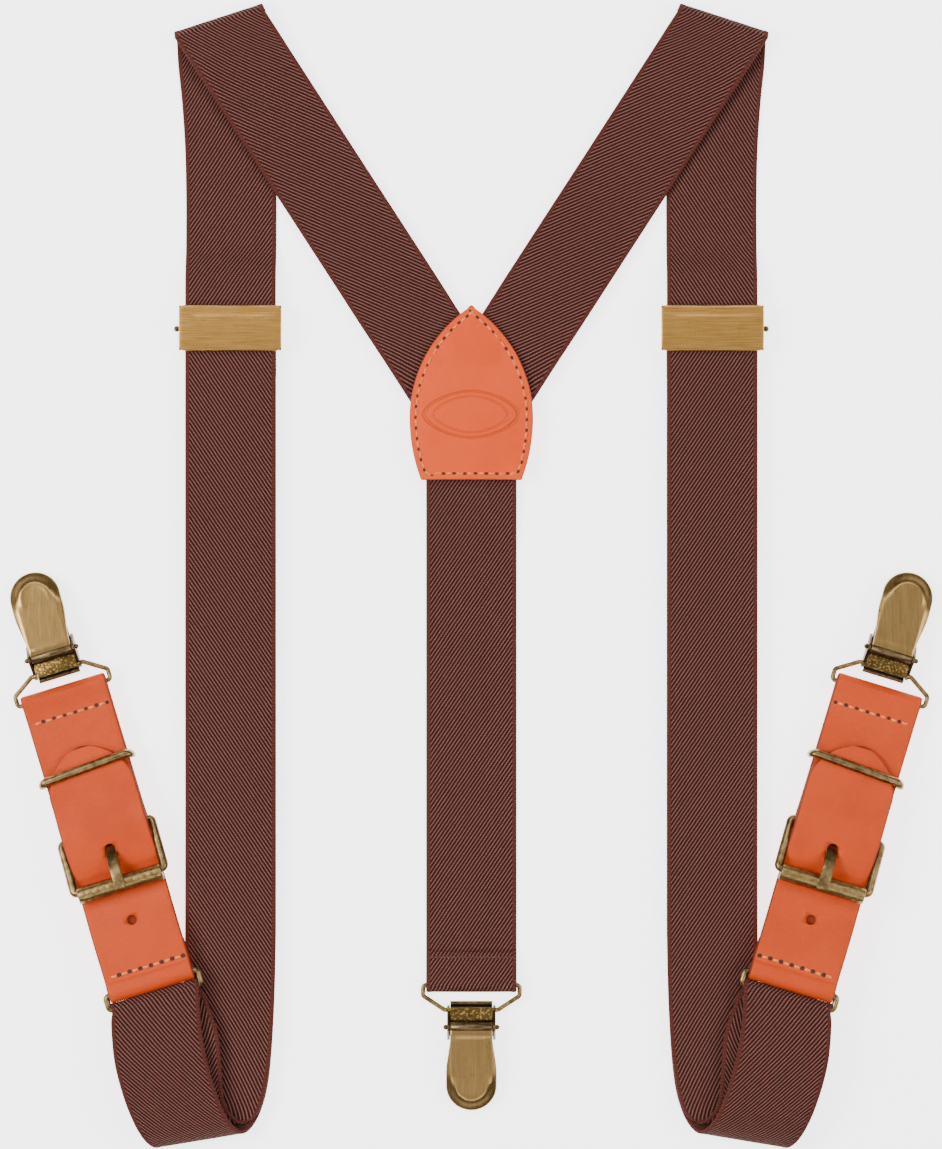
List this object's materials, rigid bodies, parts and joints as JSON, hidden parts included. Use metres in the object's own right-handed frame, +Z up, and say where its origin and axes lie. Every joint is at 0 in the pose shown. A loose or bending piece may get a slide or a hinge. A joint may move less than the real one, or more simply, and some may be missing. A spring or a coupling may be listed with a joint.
{
  "type": "suspenders",
  "caption": "Y-back elastic suspenders with a stitched leather patch, leather buckle tabs, brass strap adjusters and spring clips on wire loops.",
  "frame": {"origin": "centre of the underside of the leather joining patch", "axes": "the suspenders lie face up with +Z up; +Y runs to the shoulder folds, +X to the right-hand strap as it is seen from above"},
  "size_m": [0.2584, 0.3205, 0.0148],
  "materials": {
    "webbing": "dark reddish-brown elastic webbing with a diagonal twill rib and plain selvedges",
    "web_thread": "brown polyester sewing thread",
    "leather": "smooth orange-tan coated leather, satin",
    "thread": "light orange waxed thread",
    "antique_brass": "antique brass plate, satin brushed, darker in the recesses",
    "adjuster_brass": "golden brass, brushed across",
    "pad": "soft black plastic grip pad"
  },
  "bodies": {
    "root": {"back_webbing": "webbing", "back_hem_thread": "web_thread", "patch_front": "leather", "patch_back": "leather", "patch_thread": "thread", "left_strap_main": "webbing", "left_strap_return": "webbing", "right_strap_main": "webbing", "right_strap_return": "webbing"},
    "left_adjuster": {"left_strap_end": "webbing", "left_adjuster_frame": "adjuster_brass", "left_adjuster_pin": "adjuster_brass", "left_adjuster_rod": "adjuster_brass"},
    "left_cover": {"left_adjuster_cover": "adjuster_brass"},
    "left_ring": {"left_ring": "antique_brass"},
    "left_tab": {"left_billet": "leather", "left_billet_thread": "thread", "left_chape": "leather", "left_chape_thread": "thread", "left_buckle_frame": "antique_brass"},
    "left_roller": {"left_buckle_roller": "antique_brass"},
    "left_prong": {"left_buckle_prong": "antique_brass"},
    "left_keeper": {"left_keeper": "antique_brass"},
    "right_adjuster": {"right_strap_end": "webbing", "right_adjuster_frame": "adjuster_brass", "right_adjuster_pin": "adjuster_brass", "right_adjuster_rod": "adjuster_brass"},
    "right_cover": {"right_adjuster_cover": "adjuster_brass"},
    "right_ring": {"right_ring": "antique_brass"},
    "right_tab": {"right_billet": "leather", "right_billet_thread": "thread", "right_chape": "leather", "right_chape_thread": "thread", "right_buckle_frame": "antique_brass"},
    "right_roller": {"right_buckle_roller": "antique_brass"},
    "right_prong": {"right_buckle_prong": "antique_brass"},
    "right_keeper": {"right_keeper": "antique_brass"},
    "left_clip_loop": {"left_clip_wire": "antique_brass"},
    "left_clip": {"left_clip_base": "antique_brass", "left_clip_pin": "antique_brass", "left_clip_pad": "pad"},
    "left_jaw": {"left_clip_jaw": "antique_brass"},
    "left_lever": {"left_clip_lever": "antique_brass"},
    "right_clip_loop": {"right_clip_wire": "antique_brass"},
    "right_clip": {"right_clip_base": "antique_brass", "right_clip_pin": "antique_brass", "right_clip_pad": "pad"},
    "right_jaw": {"right_clip_jaw": "antique_brass"},
    "right_lever": {"right_clip_lever": "antique_brass"},
    "back_clip_loop": {"back_clip_wire": "antique_brass"},
    "back_clip": {"back_clip_base": "antique_brass", "back_clip_pin": "antique_brass", "back_clip_pad": "pad"},
    "back_jaw": {"back_clip_jaw": "antique_brass"},
    "back_lever": {"back_clip_lever": "antique_brass"}
  },
  "joints": [
    {"name": "left_adjuster_slide", "type": "slide", "parent": "root", "child": "left_adjuster", "axis": [0, -1, 0], "range_m": [0, 0.11], "deforming": ["left_strap_return"]},
    {"name": "left_cover_hinge", "type": "hinge", "parent": "left_adjuster", "child": "left_cover", "pos_m": [-0.0674, 0.0234, 0.00595], "axis": [-1, 0, 0], "range_deg": [0, 60]},
    {"name": "left_ring_hinge", "type": "hinge", "parent": "root", "child": "left_ring", "pos_m": [-0.08788, -0.16913, 0.00961], "axis": [0.9563, 0.2924, 0], "range_deg": [0, 40]},
    {"name": "left_tab_hinge", "type": "hinge", "parent": "left_ring", "child": "left_tab", "pos_m": [-0.08942, -0.16407, 0.00939], "axis": [0.9563, 0.2924, 0], "range_deg": [0, 60]},
    {"name": "left_roller_spin", "type": "hinge", "parent": "left_tab", "child": "left_roller", "pos_m": [-0.09774, -0.13687, 0.0109], "axis": [0.9563, 0.2924, 0], "continuous": true},
    {"name": "left_prong_hinge", "type": "hinge", "parent": "left_tab", "child": "left_prong", "pos_m": [-0.10233, -0.12185, 0.00599], "axis": [-0.9563, -0.2924, 0], "range_deg": [0, 12]},
    {"name": "left_keeper_slide", "type": "slide", "parent": "left_tab", "child": "left_keeper", "axis": [-0.2921, 0.9555, -0.0419], "range_m": [-0.008, 0.01]},
    {"name": "right_adjuster_slide", "type": "slide", "parent": "root", "child": "right_adjuster", "axis": [0, -1, 0], "range_m": [0, 0.11], "deforming": ["right_strap_return"]},
    {"name": "right_cover_hinge", "type": "hinge", "parent": "right_adjuster", "child": "right_cover", "pos_m": [0.0674, 0.0234, 0.00595], "axis": [-1, 0, 0], "range_deg": [0, 60]},
    {"name": "right_ring_hinge", "type": "hinge", "parent": "root", "child": "right_ring", "pos_m": [0.08788, -0.16913, 0.00961], "axis": [0.9563, -0.2924, 0], "range_deg": [0, 40]},
    {"name": "right_tab_hinge", "type": "hinge", "parent": "right_ring", "child": "right_tab", "pos_m": [0.08942, -0.16407, 0.00939], "axis": [0.9563, -0.2924, 0], "range_deg": [0, 60]},
    {"name": "right_roller_spin", "type": "hinge", "parent": "right_tab", "child": "right_roller", "pos_m": [0.09774, -0.13687, 0.0109], "axis": [0.9563, -0.2924, 0], "continuous": true},
    {"name": "right_prong_hinge", "type": "hinge", "parent": "right_tab", "child": "right_prong", "pos_m": [0.10233, -0.12185, 0.00599], "axis": [-0.9563, 0.2924, 0], "range_deg": [0, 12]},
    {"name": "right_keeper_slide", "type": "slide", "parent": "right_tab", "child": "right_keeper", "axis": [0.2921, 0.9555, -0.0419], "range_m": [-0.008, 0.01]},
    {"name": "left_loop_hinge", "type": "hinge", "parent": "left_tab", "child": "left_clip_loop", "pos_m": [-0.1139, -0.08401, 0.00433], "axis": [0.9563, 0.2924, 0], "range_deg": [0, 60]},
    {"name": "left_clip_swivel", "type": "hinge", "parent": "left_clip_loop", "child": "left_clip", "pos_m": [-0.11592, -0.07742, 0.00404], "axis": [0.9563, 0.2924, 0], "range_deg": [0, 30]},
    {"name": "left_lever_hinge", "type": "hinge", "parent": "left_clip", "child": "left_lever", "pos_m": [-0.11729, -0.07291, 0.00685], "axis": [0.9563, 0.2924, 0], "range_deg": [0, 90]},
    {"name": "left_jaw_hinge", "type": "hinge", "parent": "left_clip", "child": "left_jaw", "pos_m": [-0.11589, -0.07752, 0.00404], "axis": [0.9563, 0.2924, 0], "range_deg": [0, 9]},
    {"name": "right_loop_hinge", "type": "hinge", "parent": "right_tab", "child": "right_clip_loop", "pos_m": [0.1139, -0.08401, 0.00433], "axis": [0.9563, -0.2924, 0], "range_deg": [0, 60]},
    {"name": "right_clip_swivel", "type": "hinge", "parent": "right_clip_loop", "child": "right_clip", "pos_m": [0.11592, -0.07742, 0.00404], "axis": [0.9563, -0.2924, 0], "range_deg": [0, 30]},
    {"name": "right_lever_hinge", "type": "hinge", "parent": "right_clip", "child": "right_lever", "pos_m": [0.11729, -0.07291, 0.00685], "axis": [0.9563, -0.2924, 0], "range_deg": [0, 90]},
    {"name": "right_jaw_hinge", "type": "hinge", "parent": "right_clip", "child": "right_jaw", "pos_m": [0.11589, -0.07752, 0.00404], "axis": [0.9563, -0.2924, 0], "range_deg": [0, 9]},
    {"name": "back_loop_hinge", "type": "hinge", "parent": "root", "child": "back_clip_loop", "pos_m": [0, -0.1659, 0.0024], "axis": [-1, 0, 0], "range_deg": [0, 60]},
    {"name": "back_clip_swivel", "type": "hinge", "parent": "back_clip_loop", "child": "back_clip", "pos_m": [0, -0.1728, 0.0024], "axis": [-1, 0, 0], "range_deg": [0, 30]},
    {"name": "back_lever_hinge", "type": "hinge", "parent": "back_clip", "child": "back_lever", "pos_m": [0, -0.1774, 0.0054], "axis": [-1, 0, 0], "range_deg": [0, 90]},
    {"name": "back_jaw_hinge", "type": "hinge", "parent": "back_clip", "child": "back_jaw", "pos_m": [0, -0.1727, 0.0024], "axis": [-1, 0, 0], "range_deg": [0, 9]}
  ],
  "couplings": [
    {"joint": "left_jaw_hinge", "follows": "left_lever_hinge", "ratio": 0.1},
    {"joint": "right_jaw_hinge", "follows": "right_lever_hinge", "ratio": 0.1},
    {"joint": "back_jaw_hinge", "follows": "back_lever_hinge", "ratio": 0.1}
  ]
}
